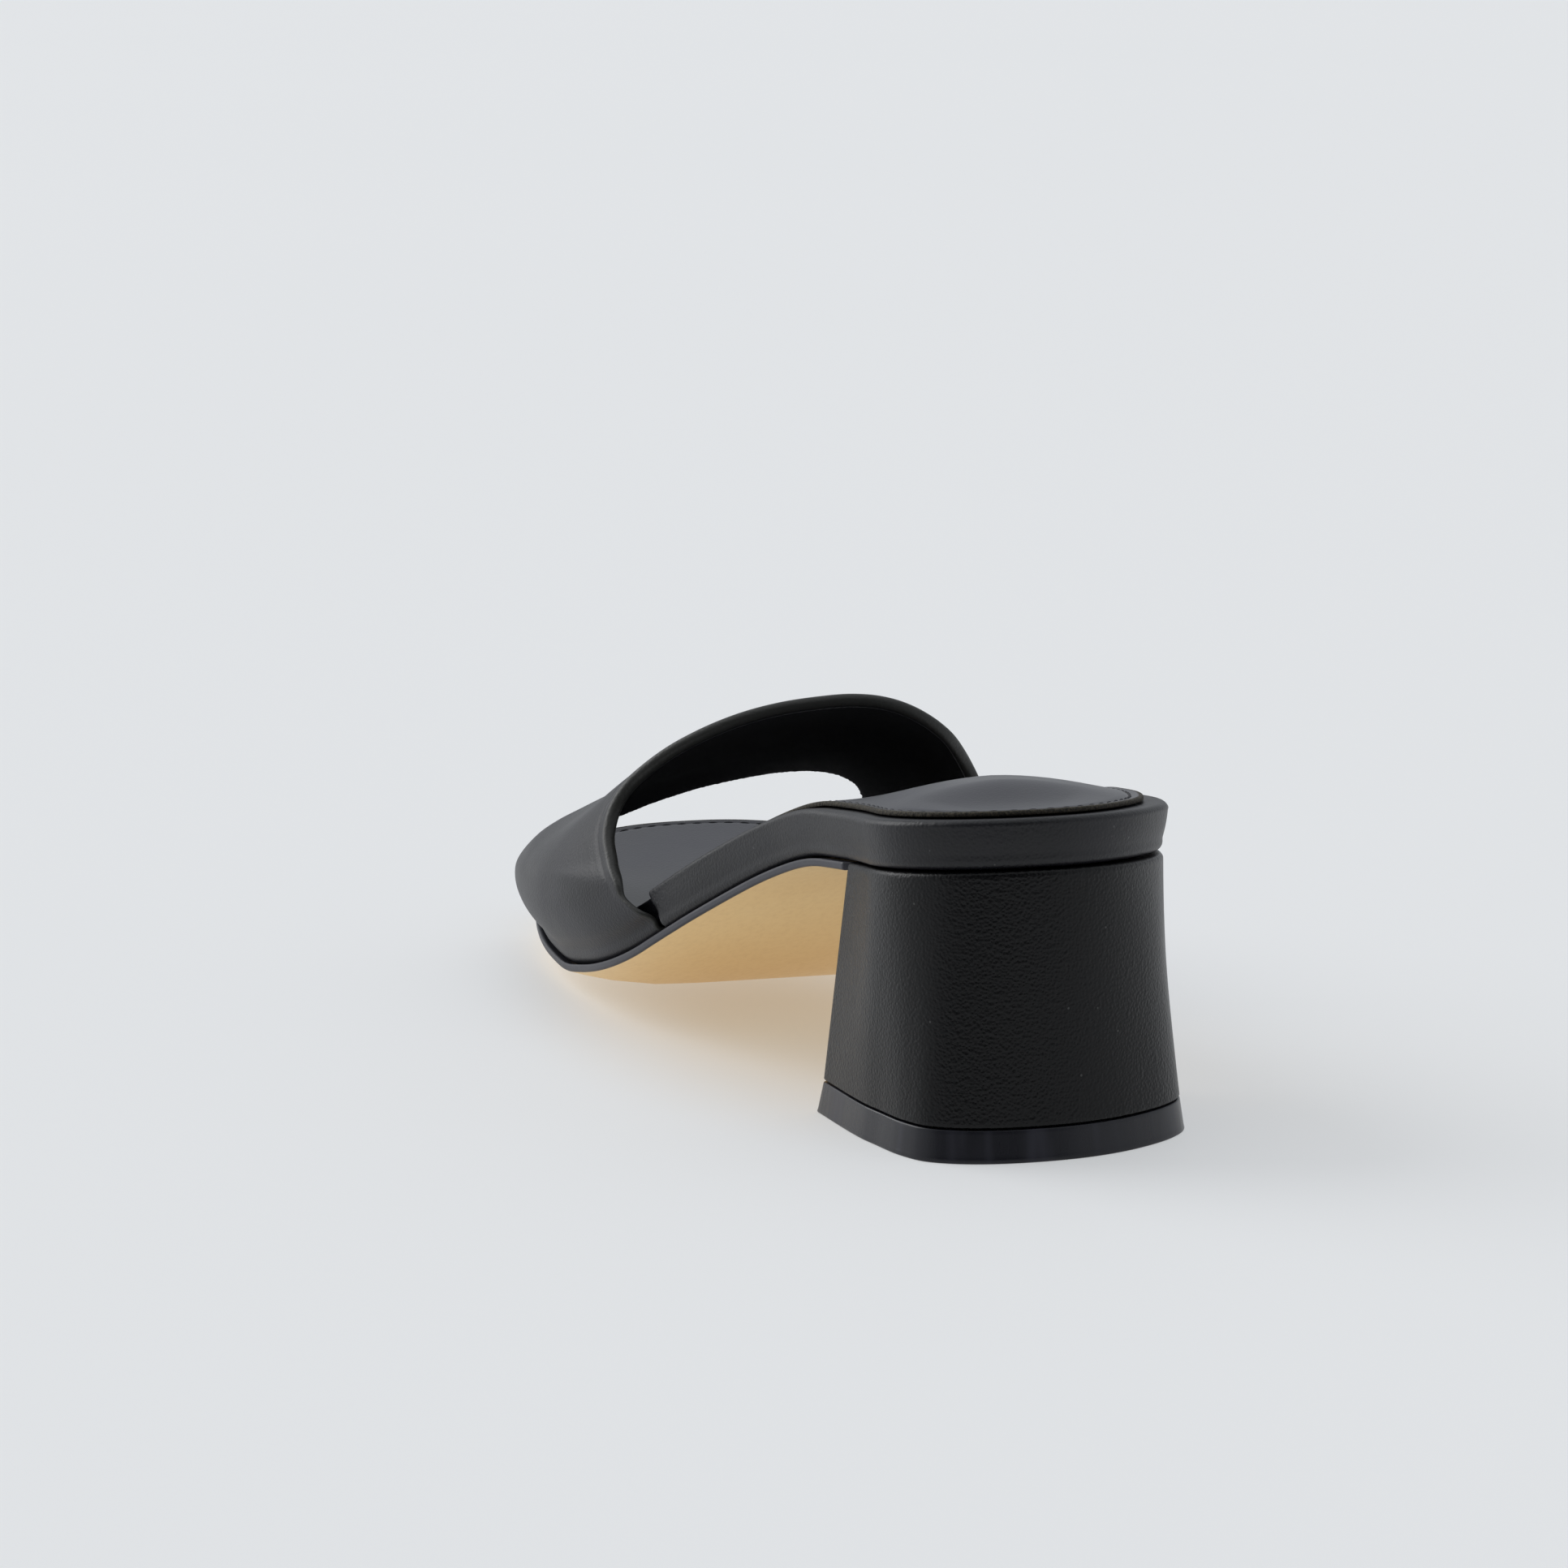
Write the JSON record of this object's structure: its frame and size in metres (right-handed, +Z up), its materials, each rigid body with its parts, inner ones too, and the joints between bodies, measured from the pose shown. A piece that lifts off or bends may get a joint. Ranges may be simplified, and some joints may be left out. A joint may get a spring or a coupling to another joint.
{
  "type": "dress sandal",
  "caption": "Left open-toed dress sandal: one broad strap over a wrapped platform, padded sock, thin leather sole and a covered block heel.",
  "frame": {"origin": "point on the floor under the middle of the heel, on the walking face of the top piece", "axes": "+X towards the toe, +Y towards the lateral side, +Z up from the floor"},
  "size_m": [0.2391, 0.0814, 0.0565],
  "materials": {
    "sole_leather": "smooth tan sole leather, satin, with a black painted edge",
    "platform_leather": "black leather, very fine grain, soft sheen",
    "sock_leather": "dark grey smooth lining leather, glossier on the padded heel",
    "heel_leather": "black leather, fine grain, soft sheen",
    "top_piece_plastic": "black hard plastic, satin",
    "strap_leather": "black smooth soft leather with a soft sheen"
  },
  "bodies": {
    "root": {"outsole": "sole_leather", "platform": "platform_leather", "sock": "sock_leather", "heel_block": "heel_leather", "top_piece": "top_piece_plastic", "strap": "strap_leather"}
  },
  "joints": []
}
